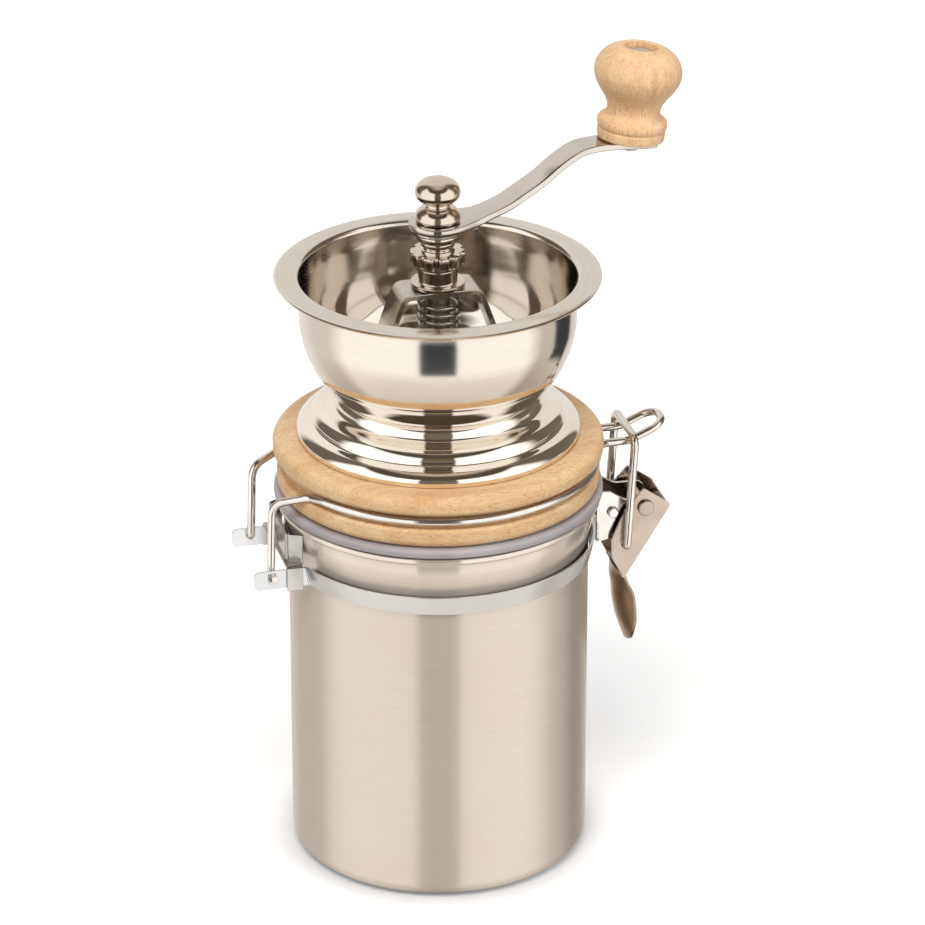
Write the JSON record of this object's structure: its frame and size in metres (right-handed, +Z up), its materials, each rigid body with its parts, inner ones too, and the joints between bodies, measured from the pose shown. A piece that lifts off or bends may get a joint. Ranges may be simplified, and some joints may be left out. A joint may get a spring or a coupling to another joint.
{
  "type": "manual coffee grinder",
  "caption": "Hand cranked coffee grinder: open steel hopper on a beech lid, conical burrs, and a clamp-top steel canister with a wire bail and lever clasp.",
  "frame": {"origin": "middle of the canister's flat underside", "axes": "+Z up along the canister's axis, +X towards the clasp, -X towards the lid's hinge"},
  "size_m": [0.1519, 0.1096, 0.2737],
  "materials": {
    "canister_steel": "stainless steel, brushed round the body",
    "bright_steel": "stainless steel strip, bright rolled",
    "nickel_steel": "nickel plated steel, slightly warm",
    "wire_steel": "drawn stainless wire, bright",
    "mirror_steel": "spun stainless steel, mirror polished",
    "hopper_steel": "spun stainless steel, satin above and polished below",
    "arm_steel": "flat steel bar, polished",
    "plain_steel": "plain steel, as drawn",
    "burr_iron": "cast burr iron, ground teeth",
    "beech": "turned beech, thinly lacquered",
    "silicone": "moulded silicone, lilac grey"
  },
  "bodies": {
    "base": {"canister_body": "canister_steel", "neck_band": "bright_steel", "hinge_clip": "bright_steel", "clasp_bracket": "bright_steel", "bracket_pin": "nickel_steel", "lever_rivet": "nickel_steel"},
    "lid": {"lid_ring": "beech", "silicone_gasket": "silicone", "stepped_dome": "mirror_steel", "hopper_bowl": "hopper_steel", "hopper_bridge": "plain_steel", "hopper_rivet_1": "plain_steel", "hopper_rivet_2": "plain_steel", "hopper_rivet_3": "plain_steel", "hopper_rivet_4": "plain_steel", "guide_bushing": "nickel_steel", "outer_burr": "burr_iron", "burr_screw_1": "plain_steel", "burr_screw_2": "plain_steel", "burr_screw_3": "plain_steel", "lid_screw_1": "plain_steel", "lid_screw_2": "plain_steel", "lid_screw_3": "plain_steel", "lower_bridge": "plain_steel", "lower_bushing": "plain_steel", "lower_bridge_screw_1": "plain_steel", "lower_bridge_screw_2": "plain_steel", "bail_wire": "wire_steel"},
    "carrier": {"thrust_washer": "nickel_steel"},
    "adjuster": {"adjusting_nut": "nickel_steel"},
    "spindle": {"drive_shaft": "plain_steel", "inner_burr": "burr_iron", "burr_nut": "plain_steel", "spring_seat": "plain_steel", "burr_spring": "plain_steel", "shaft_collar": "nickel_steel", "lock_plate": "arm_steel", "crank_arm": "arm_steel", "finial_nut": "mirror_steel", "knob_pin": "plain_steel"},
    "knob": {"crank_knob": "beech"},
    "lever": {"clasp_lever": "nickel_steel"},
    "link": {"clasp_link": "wire_steel"}
  },
  "joints": [
    {"name": "lid_hinge", "type": "hinge", "parent": "base", "child": "lid", "pos_m": [-0.0607, 0, 0.1106], "axis": [0, -1, 0], "range_deg": [0, 105]},
    {"name": "crank_turn", "type": "hinge", "parent": "lid", "child": "carrier", "pos_m": [0, 0, 0.2087], "axis": [0, 0, 1], "continuous": true},
    {"name": "adjuster_turn", "type": "hinge", "parent": "carrier", "child": "adjuster", "pos_m": [0, 0, 0.2101], "axis": [0, 0, 1], "range_deg": [-360, 0]},
    {"name": "spindle_lift", "type": "slide", "parent": "carrier", "child": "spindle", "axis": [0, 0, 1], "range_m": [0, 0.00125], "deforming": ["burr_spring"]},
    {"name": "knob_spin", "type": "hinge", "parent": "spindle", "child": "knob", "pos_m": [0.0684, 0.01231, 0.24146], "axis": [0.1111, 0.02, 0.9936], "continuous": true},
    {"name": "clasp_lever", "type": "hinge", "parent": "base", "child": "lever", "pos_m": [0.069, 0, 0.1174], "axis": [0, -1, 0], "range_deg": [0, 110]},
    {"name": "clasp_link", "type": "hinge", "parent": "lever", "child": "link", "pos_m": [0.0622, 0, 0.1043], "axis": [0, -1, 0], "range_deg": [-160, 0], "deforming": ["clasp_link"]}
  ],
  "couplings": [
    {"joint": "adjuster_turn", "follows": "spindle_lift", "rad_per_m": -5026.5},
    {"joint": "clasp_link", "follows": "clasp_lever", "ratio": -1.4364}
  ]
}
